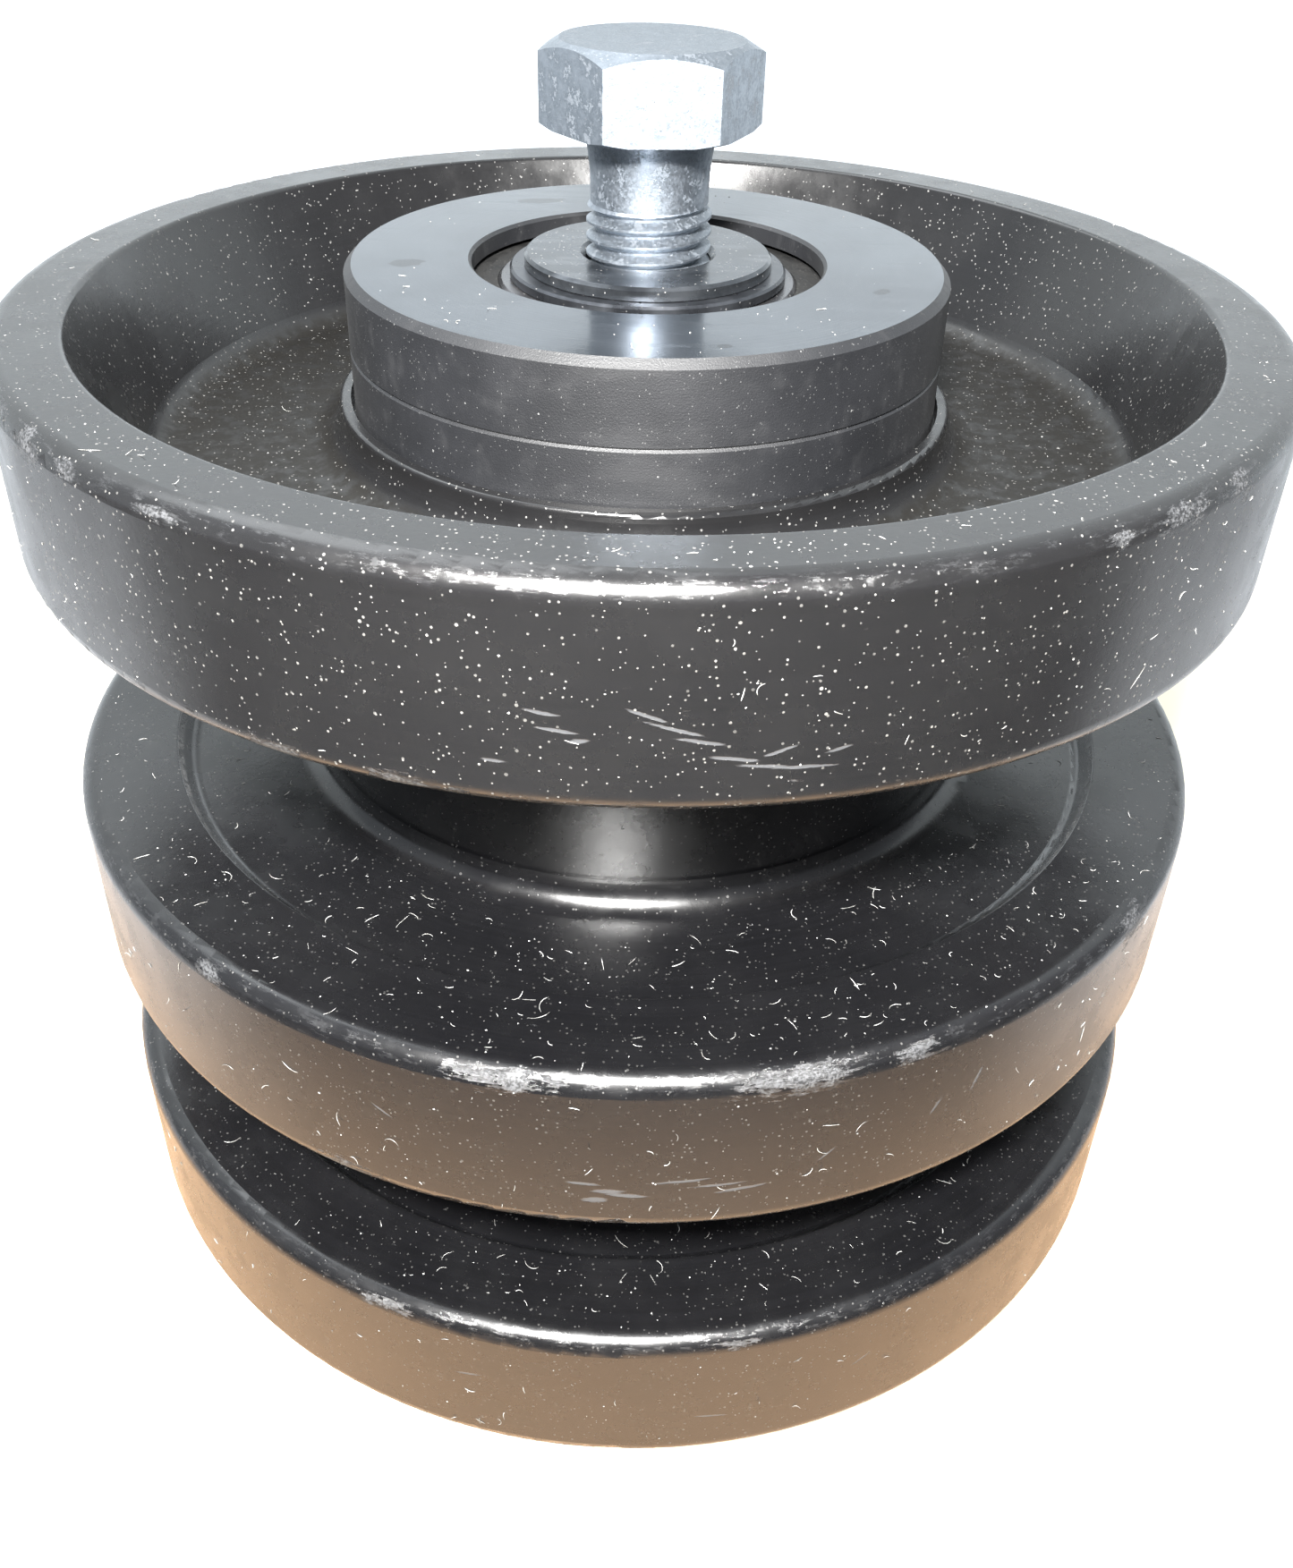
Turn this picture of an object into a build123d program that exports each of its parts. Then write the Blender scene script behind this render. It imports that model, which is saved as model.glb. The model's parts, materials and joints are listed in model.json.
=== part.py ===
"""Three-wheel sliding door roller: cup-shaped steel wheels turning on one common axle.

Units are millimetres. The axle stands along +Z and the origin is the centre of its lower end face.
The upper wheel has its cup upwards; the middle and lower wheels have their cups downwards.
Heights named from a rim plane count positive away from that wheel, out of its cup.
"""

import os

from build123d import *

# ---------------------------------------------------------------- driving dimensions

# wheel
WHEEL_RADIUS = 82.5
WHEEL_WIDTH = 25.5  # rim plane to back face
EDGE_ROUND = 2.6  # outer edges of the tread
RIM_INNER_RADIUS = 73.0  # at the rim plane
RIM_INNER_ROUND = 0.8
CUP_DEPTH = 19.2  # rim plane to the web
WALL_FOOT_RADIUS = 65.0  # where the tapered inner wall would meet the web
WALL_FOOT_FILLET = 4.0
LIP_RADIUS = 41.0  # hub lip round the housing, on the cup side
LIP_HEIGHT = 6.0  # above the web
LIP_ROUND = 0.6
LIP_FOOT_FILLET = 4.8
LIP_RELIEF_DEPTH = 2.5
LIP_RELIEF_GAP = 0.5
RECESS_EDGE_RADIUS = 69.0  # shallow recess in the back face
RECESS_FOOT_RADIUS = 67.0
RECESS_DEPTH = 3.0
RECESS_EDGE_ROUND = 0.3
RECESS_FOOT_FILLET = 1.5
BOSS_RADIUS = 48.5  # hub boss on the back face
BOSS_HEIGHT = 17.2  # above the back face
BOSS_FOOT_FILLET = 3.5
BOSS_STEP = 0.4  # the boss is turned slightly smaller above its foot
BOSS_STEP_HEIGHT = 4.0  # above the recess floor
BOSS_EDGE_ROUND = 1.2
SHOULDER_THICKNESS = 5.0  # shoulder that the housing sits on
SHOULDER_RADIUS = 33.0

# bearing housing
HOUSING_RADIUS = 39.0
HOUSING_PROUD = 3.9  # stands beyond the rim plane
HOUSING_LIP = 2.4  # end lip that keeps the first bearing in
HOUSING_CHAMFER = 1.0
OPENING_RADIUS = 22.8
OPENING_CHAMFER = 0.4
SCRIBE_LEVEL = -6.4  # turned line round the housing, from the rim plane
SCRIBE_DEPTH = 0.3

# ball bearings
BORE_RADIUS = 16.0
BEARING_RADIUS = 29.0
BEARING_WIDTH = 13.0
BEARING_GAP = 7.6  # between the two bearings of a wheel
BALL_RADIUS = 3.8
BALL_COUNT = 12
RACEWAY_GAP = 0.06
INNER_LAND_RADIUS = 19.4
OUTER_LAND_RADIUS = 25.6
RING_EDGE_CHAMFER = 0.4
CAGE_INNER_RADIUS = 20.9
CAGE_OUTER_RADIUS = 24.1
CAGE_WIDTH = 9.6
POCKET_GAP = 0.12
SEAL_THICKNESS = 0.9
SEAL_INSET = 0.4  # below the bearing's end face
SEAL_LIP_GAP = 0.08
SEAL_BEAD = 0.5  # the seal's rim sits this far into the outer ring
SEAL_DISH_DEPTH = 0.25
SEAL_DISH_WIDTH = 3.0

# retaining rings and sleeves
HOUSING_RING_THICKNESS = 2.0
HOUSING_RING_INNER_RADIUS = 26.4
HOUSING_GROOVE_RADIUS = 30.5
AXLE_RING_THICKNESS = 1.5
AXLE_RING_OUTER_RADIUS = 17.9
AXLE_GROOVE_RADIUS = 15.15
GROOVE_SIDE_GAP = 0.1
RING_MOUTH_WIDTH = 9.0
SPRING_RING_CHAMFER = 0.3
INNER_SLEEVE_RADIUS = 19.0
OUTER_SPACER_INNER_RADIUS = 26.6
ROLLER_SLEEVE_RADIUS = 19.2
SLEEVE_CHAMFER = 0.5

# axle
AXLE_PROUD = 0.8  # stands beyond the housing face at each end
AXLE_CHAMFER = 0.4
UPPER_HOLE_DEPTH = 48.0
LOWER_HOLE_DEPTH = 32.0
HOLE_MOUTH_CHAMFER = 0.7
DRILL_POINT = 4.8  # depth of the cone at a blind hole's end
THREAD_HOLE_GAP = 0.1  # tapped holes are drawn plain, this much wider than the thread

# bolt
THREAD_RADIUS = 8.0
THREAD_ROOT_RADIUS = 6.85
THREAD_PITCH = 2.0
THREAD_CREST_WIDTH = 0.3
THREAD_FLANK_SHARE = 0.9  # share of the pitch that one ridge covers at its root
HEAD_ACROSS_FLATS = 24.0
HEAD_HEIGHT = 10.0
HEAD_TURN = 6.6  # degrees
HEAD_TOP_RADIUS = 11.3
HEAD_CORNER_RADIUS = 13.9
HEAD_TOP_DROP = 1.5  # fall of the top chamfer at the corners
HEAD_UNDER_RADIUS = 12.6
HEAD_UNDER_RISE = 0.5
BOLT_LENGTH = 40.0  # under the head
BOLT_EXPOSED = 14.9  # head underside above the axle end
NECK_RADIUS = 7.5
NECK_FLARE_RADIUS = 8.4  # where the neck meets the head
NECK_FLARE_LENGTH = 7.0
NECK_LENGTH = 8.6
BOLT_TIP_CHAMFER = 1.2

# stack
ROLLER_GAP = 2.0  # between neighbouring rollers
UP = 1
DOWN = -1

# ---------------------------------------------------------------- levels along the axle

LOWER_RIM = AXLE_PROUD + HOUSING_PROUD
MIDDLE_RIM = LOWER_RIM + WHEEL_WIDTH + BOSS_HEIGHT + ROLLER_GAP + HOUSING_PROUD
UPPER_RIM = MIDDLE_RIM + 2 * (WHEEL_WIDTH + BOSS_HEIGHT) + ROLLER_GAP
AXLE_LENGTH = UPPER_RIM + HOUSING_PROUD + AXLE_PROUD

# from a rim plane
BEARING_FACE = HOUSING_PROUD - HOUSING_LIP
RIM_BEARING = BEARING_FACE - BEARING_WIDTH / 2
HUB_BEARING = RIM_BEARING - BEARING_WIDTH - BEARING_GAP
STACK_END = HUB_BEARING - BEARING_WIDTH / 2
BOSS_FACE = -(WHEEL_WIDTH + BOSS_HEIGHT)
SEAT_FACE = BOSS_FACE + SHOULDER_THICKNESS

PITCH_RADIUS = (BORE_RADIUS + BEARING_RADIUS) / 2
HOLE_RADIUS = THREAD_RADIUS + THREAD_HOLE_GAP


def profile_plane(level, outward):
    """Plane for turned profiles: local x is the radius, local y the height from `level`, outward."""
    return Plane(origin=(0, 0, level), x_dir=(1, 0, 0), z_dir=(0, -outward, 0))


def cross_plane(level):
    """Plane square to the axle at `level`, with its normal pointing up."""
    return Plane(origin=(0, 0, level), x_dir=(1, 0, 0), z_dir=(0, 0, 1))


def turned(outline, plane):
    """Turn a closed outline of ((radius, height), corner rounding) pairs about the axle."""
    points = [point for point, _ in outline]
    roundings = [rounding for _, rounding in outline]
    with BuildPart() as body:
        with BuildSketch(plane):
            with BuildLine():
                FilletPolyline(*points, radius=roundings, close=True)
            make_face()
        revolve(axis=Axis.Z)
    return body


def save(builder, name):
    """Label a finished piece and write it to its own file."""
    builder.part.label = name
    export_step(builder.part, f"parts/{name}.step")


# ---------------------------------------------------------------- wheel and housing


def make_wheel(name, rim_level, outward):
    """Turned steel wheel: tread, tapered cup wall, thin web, hub lip and long hub boss."""
    web_front = -CUP_DEPTH
    web_back = -WHEEL_WIDTH + RECESS_DEPTH
    lip_top = web_front + LIP_HEIGHT
    relief_end = lip_top - LIP_RELIEF_DEPTH
    relief_radius = HOUSING_RADIUS + LIP_RELIEF_GAP
    step_level = web_back - BOSS_STEP_HEIGHT
    upper_boss_radius = BOSS_RADIUS - BOSS_STEP
    outline = [
        ((RIM_INNER_RADIUS, 0), RIM_INNER_ROUND),
        ((WHEEL_RADIUS, 0), EDGE_ROUND),
        ((WHEEL_RADIUS, -WHEEL_WIDTH), EDGE_ROUND),
        ((RECESS_EDGE_RADIUS, -WHEEL_WIDTH), RECESS_EDGE_ROUND),
        ((RECESS_FOOT_RADIUS, web_back), RECESS_FOOT_FILLET),
        ((BOSS_RADIUS, web_back), BOSS_FOOT_FILLET),
        ((BOSS_RADIUS, step_level), 0),
        ((upper_boss_radius, step_level), 0),
        ((upper_boss_radius, BOSS_FACE), BOSS_EDGE_ROUND),
        ((SHOULDER_RADIUS, BOSS_FACE), BOSS_EDGE_ROUND),
        ((SHOULDER_RADIUS, SEAT_FACE), 0),
        ((HOUSING_RADIUS, SEAT_FACE), 0),
        ((HOUSING_RADIUS, relief_end), 0),
        ((relief_radius, relief_end), 0),
        ((relief_radius, lip_top), 0),
        ((LIP_RADIUS, lip_top), LIP_ROUND),
        ((LIP_RADIUS, web_front), LIP_FOOT_FILLET),
        ((WALL_FOOT_RADIUS, web_front), WALL_FOOT_FILLET),
    ]
    save(turned(outline, profile_plane(rim_level, outward)), name)


def make_housing(name, rim_level, outward):
    """Cylindrical bearing housing with an end lip, a scribed line and a retaining-ring groove."""
    groove_end = STACK_END - HOUSING_RING_THICKNESS - GROOVE_SIDE_GAP
    outline = [
        ((OPENING_RADIUS, BEARING_FACE), 0),
        ((OPENING_RADIUS, HOUSING_PROUD - OPENING_CHAMFER), 0),
        ((OPENING_RADIUS + OPENING_CHAMFER, HOUSING_PROUD), 0),
        ((HOUSING_RADIUS - HOUSING_CHAMFER, HOUSING_PROUD), 0),
        ((HOUSING_RADIUS, HOUSING_PROUD - HOUSING_CHAMFER), 0),
        ((HOUSING_RADIUS, SCRIBE_LEVEL + SCRIBE_DEPTH), 0),
        ((HOUSING_RADIUS - SCRIBE_DEPTH, SCRIBE_LEVEL), 0),
        ((HOUSING_RADIUS, SCRIBE_LEVEL - SCRIBE_DEPTH), 0),
        ((HOUSING_RADIUS, SEAT_FACE + HOUSING_CHAMFER), 0),
        ((HOUSING_RADIUS - HOUSING_CHAMFER, SEAT_FACE), 0),
        ((BEARING_RADIUS, SEAT_FACE), 0),
        ((BEARING_RADIUS, groove_end), 0),
        ((HOUSING_GROOVE_RADIUS, groove_end), 0),
        ((HOUSING_GROOVE_RADIUS, STACK_END), 0),
        ((BEARING_RADIUS, STACK_END), 0),
        ((BEARING_RADIUS, BEARING_FACE), 0),
    ]
    save(turned(outline, profile_plane(rim_level, outward)), name)


# ---------------------------------------------------------------- rings, spacers and sleeves


def make_tube(name, low, high, inner_radius, outer_radius, edge_chamfer):
    """Plain tube round the axle between two levels, with chamfered outer ends."""
    with BuildPart() as tube:
        with BuildSketch(cross_plane(low)):
            Circle(outer_radius)
            Circle(inner_radius, mode=Mode.SUBTRACT)
        extrude(amount=high - low)
        ends = tube.edges().filter_by(GeomType.CIRCLE).group_by(SortBy.RADIUS)[-1]
        chamfer(ends, edge_chamfer)
    save(tube, name)


def make_retaining_ring(name, low, thickness, inner_radius, outer_radius):
    """Open spring ring between two levels, its mouth towards +Y."""
    with BuildPart() as ring:
        with BuildSketch(cross_plane(low)):
            Circle(outer_radius)
            Circle(inner_radius, mode=Mode.SUBTRACT)
            with Locations((0, (inner_radius + outer_radius) / 2)):
                Rectangle(RING_MOUTH_WIDTH, outer_radius, mode=Mode.SUBTRACT)
        extrude(amount=thickness)
        rims = ring.edges().filter_by(GeomType.CIRCLE).group_by(SortBy.RADIUS)[-1]
        chamfer(rims, SPRING_RING_CHAMFER)
    save(ring, name)


# ---------------------------------------------------------------- ball bearing


def make_bearing_ring(name, middle, inner_radius, outer_radius, seal_grooves):
    """One bearing ring: a chamfered rectangle section with a ball groove, and seal grooves if asked."""
    with BuildPart() as ring:
        with BuildSketch(profile_plane(middle, UP)) as section:
            with Locations(((inner_radius + outer_radius) / 2, 0)):
                Rectangle(outer_radius - inner_radius, BEARING_WIDTH)
            chamfer(section.vertices(), RING_EDGE_CHAMFER)
            with Locations((PITCH_RADIUS, 0)):
                Circle(BALL_RADIUS + RACEWAY_GAP, mode=Mode.SUBTRACT)
            if seal_grooves:
                seal_level = BEARING_WIDTH / 2 - SEAL_INSET - SEAL_THICKNESS / 2
                with Locations((inner_radius, seal_level), (inner_radius, -seal_level)):
                    Rectangle(2 * SEAL_BEAD, SEAL_THICKNESS, mode=Mode.SUBTRACT)
        revolve(axis=Axis.Z)
    save(ring, name)


def make_balls(name, middle):
    """One full set of balls, evenly spaced round the axle."""
    with BuildPart(cross_plane(middle)) as balls:
        with PolarLocations(PITCH_RADIUS, BALL_COUNT):
            Sphere(BALL_RADIUS)
    save(balls, name)


def make_cage(name, middle):
    """Cage ring with a round pocket for each ball, drilled square to the axle."""
    pocket_radius = BALL_RADIUS + POCKET_GAP
    with BuildPart(cross_plane(middle)) as cage:
        Cylinder(CAGE_OUTER_RADIUS, CAGE_WIDTH)
        Cylinder(CAGE_INNER_RADIUS, CAGE_WIDTH, mode=Mode.SUBTRACT)
        with PolarLocations(PITCH_RADIUS, BALL_COUNT):
            Cylinder(pocket_radius, 2 * BALL_RADIUS, rotation=(0, 90, 0), mode=Mode.SUBTRACT)
    save(cage, name)


def make_seals(name, middle):
    """The pair of dished seals of one bearing, held in the outer ring and clear of the inner ring."""
    inner = INNER_LAND_RADIUS + SEAL_LIP_GAP
    outer = OUTER_LAND_RADIUS + SEAL_BEAD
    centre = (inner + outer) / 2
    level = BEARING_WIDTH / 2 - SEAL_INSET - SEAL_THICKNESS / 2
    dish_level = level + SEAL_THICKNESS / 2
    with BuildPart() as seals:
        with BuildSketch(profile_plane(middle, UP)):
            with Locations((centre, level), (centre, -level)):
                Rectangle(outer - inner, SEAL_THICKNESS)
            with Locations((centre, dish_level), (centre, -dish_level)):
                Rectangle(SEAL_DISH_WIDTH, 2 * SEAL_DISH_DEPTH, mode=Mode.SUBTRACT)
        revolve(axis=Axis.Z)
    save(seals, name)


def make_bearing(prefix, middle):
    """All pieces of one deep-groove ball bearing whose ball plane is at `middle`."""
    make_bearing_ring(f"{prefix}_outer_ring", middle, OUTER_LAND_RADIUS, BEARING_RADIUS, True)
    make_bearing_ring(f"{prefix}_inner_ring", middle, BORE_RADIUS, INNER_LAND_RADIUS, False)
    make_balls(f"{prefix}_balls", middle)
    make_cage(f"{prefix}_cage", middle)
    make_seals(f"{prefix}_seals", middle)


# ---------------------------------------------------------------- axle and bolt


def make_axle(name):
    """Solid axle with a retaining-ring groove near each end and a tapped hole in each end face."""
    lower_groove = LOWER_RIM - BEARING_FACE
    upper_groove = UPPER_RIM + BEARING_FACE
    groove_width = AXLE_RING_THICKNESS + GROOVE_SIDE_GAP
    top = AXLE_LENGTH
    outline = [
        (0, LOWER_HOLE_DEPTH + DRILL_POINT),
        (HOLE_RADIUS, LOWER_HOLE_DEPTH),
        (HOLE_RADIUS, HOLE_MOUTH_CHAMFER),
        (HOLE_RADIUS + HOLE_MOUTH_CHAMFER, 0),
        (BORE_RADIUS - AXLE_CHAMFER, 0),
        (BORE_RADIUS, AXLE_CHAMFER),
        (BORE_RADIUS, lower_groove - groove_width),
        (AXLE_GROOVE_RADIUS, lower_groove - groove_width),
        (AXLE_GROOVE_RADIUS, lower_groove),
        (BORE_RADIUS, lower_groove),
        (BORE_RADIUS, upper_groove),
        (AXLE_GROOVE_RADIUS, upper_groove),
        (AXLE_GROOVE_RADIUS, upper_groove + groove_width),
        (BORE_RADIUS, upper_groove + groove_width),
        (BORE_RADIUS, top - AXLE_CHAMFER),
        (BORE_RADIUS - AXLE_CHAMFER, top),
        (HOLE_RADIUS + HOLE_MOUTH_CHAMFER, top),
        (HOLE_RADIUS, top - HOLE_MOUTH_CHAMFER),
        (HOLE_RADIUS, top - UPPER_HOLE_DEPTH),
        (0, top - UPPER_HOLE_DEPTH - DRILL_POINT),
    ]
    with BuildPart() as axle:
        with BuildSketch(profile_plane(0, UP)):
            with BuildLine():
                Polyline(*outline, close=True)
            make_face()
        revolve(axis=Axis.Z)
    save(axle, name)


def make_thread(low, high):
    """Threaded length of the bolt: a root cylinder with one helical ridge, trimmed at both ends."""
    half_root = THREAD_PITCH * THREAD_FLANK_SHARE / 2
    half_crest = THREAD_CREST_WIDTH / 2
    ridge = THREAD_RADIUS - THREAD_ROOT_RADIUS
    overlap = 0.1  # sinks the ridge into the root cylinder
    with BuildPart() as thread:
        with BuildLine():
            path = Helix(THREAD_PITCH, high - low, THREAD_ROOT_RADIUS, center=(0, 0, low))
        with BuildSketch(Plane(origin=path @ 0, x_dir=(1, 0, 0), z_dir=path % 0)):
            with BuildLine():
                Polyline(
                    (-overlap, -half_root),
                    (ridge, -half_crest),
                    (ridge, half_crest),
                    (-overlap, half_root),
                    close=True,
                )
            make_face()
        sweep(path=path, is_frenet=True)
        with BuildSketch(cross_plane(low)):
            Circle(THREAD_ROOT_RADIUS)
        extrude(amount=high - low)
        with BuildSketch(profile_plane(0, UP)):
            with BuildLine():
                Polyline(
                    (0, low),
                    (THREAD_RADIUS - BOLT_TIP_CHAMFER, low),
                    (THREAD_RADIUS + overlap, low + BOLT_TIP_CHAMFER + overlap),
                    (THREAD_RADIUS + overlap, high - THREAD_PITCH),
                    (THREAD_ROOT_RADIUS, high),
                    (0, high),
                    close=True,
                )
            make_face()
        revolve(axis=Axis.Z, mode=Mode.INTERSECT)
    return thread.part


def make_bolt(name):
    """Hex-head bolt, part-way screwed into the upper end of the axle."""
    seat = AXLE_LENGTH + BOLT_EXPOSED
    top = seat + HEAD_HEIGHT
    neck_end = seat - NECK_LENGTH
    thread = make_thread(seat - BOLT_LENGTH, neck_end + THREAD_PITCH / 2)
    with BuildPart() as bolt:
        with BuildSketch(cross_plane(seat)):
            RegularPolygon(HEAD_ACROSS_FLATS / 2, 6, major_radius=False, rotation=HEAD_TURN)
        extrude(amount=HEAD_HEIGHT)
        with BuildSketch(profile_plane(0, UP)):
            with BuildLine():
                Polyline(
                    (0, seat),
                    (HEAD_UNDER_RADIUS, seat),
                    (HEAD_CORNER_RADIUS, seat + HEAD_UNDER_RISE),
                    (HEAD_CORNER_RADIUS, top - HEAD_TOP_DROP),
                    (HEAD_TOP_RADIUS, top),
                    (0, top),
                    close=True,
                )
            make_face()
        revolve(axis=Axis.Z, mode=Mode.INTERSECT)
        with BuildSketch(profile_plane(0, UP)):
            with BuildLine():
                Polyline((NECK_FLARE_RADIUS, seat), (0, seat), (0, neck_end))
                Line((0, neck_end), (NECK_RADIUS, neck_end))
                Line((NECK_RADIUS, neck_end), (NECK_RADIUS, seat - NECK_FLARE_LENGTH))
                TangentArc(
                    (NECK_RADIUS, seat - NECK_FLARE_LENGTH),
                    (NECK_FLARE_RADIUS, seat),
                    tangent=(0, 1),
                )
            make_face()
        revolve(axis=Axis.Z)
        add(thread)
    save(bolt, name)


# ---------------------------------------------------------------- assembly


def make_roller(prefix, rim_level, outward):
    """One complete roller: wheel, housing, two bearings, their spacers and the retaining ring."""

    def level(height):
        return rim_level + outward * height

    def span(first, second):
        return sorted((level(first), level(second)))

    make_wheel(f"{prefix}_wheel", rim_level, outward)
    make_housing(f"{prefix}_bearing_housing", rim_level, outward)
    make_bearing(f"{prefix}_rim_bearing", level(RIM_BEARING))
    make_bearing(f"{prefix}_hub_bearing", level(HUB_BEARING))
    gap = span(STACK_END + BEARING_WIDTH, STACK_END + BEARING_WIDTH + BEARING_GAP)
    make_tube(f"{prefix}_inner_sleeve", *gap, BORE_RADIUS, INNER_SLEEVE_RADIUS, SLEEVE_CHAMFER)
    make_tube(
        f"{prefix}_outer_spacer", *gap, OUTER_SPACER_INNER_RADIUS, BEARING_RADIUS, SLEEVE_CHAMFER
    )
    ring_low, _ = span(STACK_END, STACK_END - HOUSING_RING_THICKNESS)
    make_retaining_ring(
        f"{prefix}_housing_retaining_ring",
        ring_low,
        HOUSING_RING_THICKNESS,
        HOUSING_RING_INNER_RADIUS,
        HOUSING_GROOVE_RADIUS,
    )


def make_all():
    """Write every piece of the three-roller set."""
    make_roller("upper", UPPER_RIM, UP)
    make_roller("middle", MIDDLE_RIM, DOWN)
    make_roller("lower", LOWER_RIM, DOWN)
    make_axle("axle")
    make_bolt("hex_bolt")
    upper_ring = UPPER_RIM + BEARING_FACE
    lower_ring = LOWER_RIM - BEARING_FACE - AXLE_RING_THICKNESS
    for side, low in (("upper", upper_ring), ("lower", lower_ring)):
        make_retaining_ring(
            f"{side}_axle_retaining_ring",
            low,
            AXLE_RING_THICKNESS,
            AXLE_GROOVE_RADIUS,
            AXLE_RING_OUTER_RADIUS,
        )
    sleeve = (BORE_RADIUS, ROLLER_SLEEVE_RADIUS, SLEEVE_CHAMFER)
    make_tube("upper_roller_sleeve", MIDDLE_RIM - STACK_END, UPPER_RIM + STACK_END, *sleeve)
    make_tube("lower_roller_sleeve", LOWER_RIM - STACK_END, MIDDLE_RIM - BEARING_FACE, *sleeve)


os.makedirs("parts", exist_ok=True)
make_all()
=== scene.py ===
"""Looks for the sliding door roller: three worn black enamelled wheels, dusty steel, a zinc bolt.

Lengths inside materials and lint are in millimetres, in the row frame; Blender's own are in metres.
"""

import json
import math
import random

import bpy
from mathutils import Matrix, Vector


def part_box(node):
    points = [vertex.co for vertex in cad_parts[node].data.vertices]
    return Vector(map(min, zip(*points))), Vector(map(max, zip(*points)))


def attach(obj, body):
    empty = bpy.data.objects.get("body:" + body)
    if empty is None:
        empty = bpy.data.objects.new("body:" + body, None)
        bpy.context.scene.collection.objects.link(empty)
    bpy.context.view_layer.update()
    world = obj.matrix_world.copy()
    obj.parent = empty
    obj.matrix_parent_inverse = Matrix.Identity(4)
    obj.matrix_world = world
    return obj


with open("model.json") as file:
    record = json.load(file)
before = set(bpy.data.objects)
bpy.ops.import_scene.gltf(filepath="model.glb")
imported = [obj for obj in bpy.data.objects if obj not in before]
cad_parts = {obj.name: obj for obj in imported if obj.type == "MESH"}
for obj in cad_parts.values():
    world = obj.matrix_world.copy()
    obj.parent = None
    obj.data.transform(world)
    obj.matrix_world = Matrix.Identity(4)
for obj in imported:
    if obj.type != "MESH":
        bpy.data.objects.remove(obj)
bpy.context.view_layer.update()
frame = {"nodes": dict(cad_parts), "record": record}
nodes = frame["nodes"]

MM = 0.001
SEED = 20
SMALLEST_SPECK = 0.45  # smallest dust speck, as a share of the largest
ROLLERS = ("upper", "middle", "lower")
OUTWARD = {"upper": 1, "middle": -1, "lower": -1}  # which way along Z each wheel's cup opens

WHEEL_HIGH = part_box("upper_wheel")[1]
WHEEL_RADIUS = WHEEL_HIGH.x / MM
RIM_LEVEL = WHEEL_HIGH.z / MM  # of the upper wheel
TREAD_WIDTH = 25.5
EDGE_ROUND = 2.6  # rounding of the tread's outer corners
RECESS_RADIUS = 68.6  # edge of the recess in a wheel's back face
DUST_FILM = 0.03  # share of the paint hidden by dust too fine to see as specks
DUSTINESS = {"upper": 1.0, "middle": 0.45, "lower": 0.4}
DUST_COLOR = (0.15, 0.147, 0.14)


# ---------------------------------------------------------------- node helpers


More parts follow.
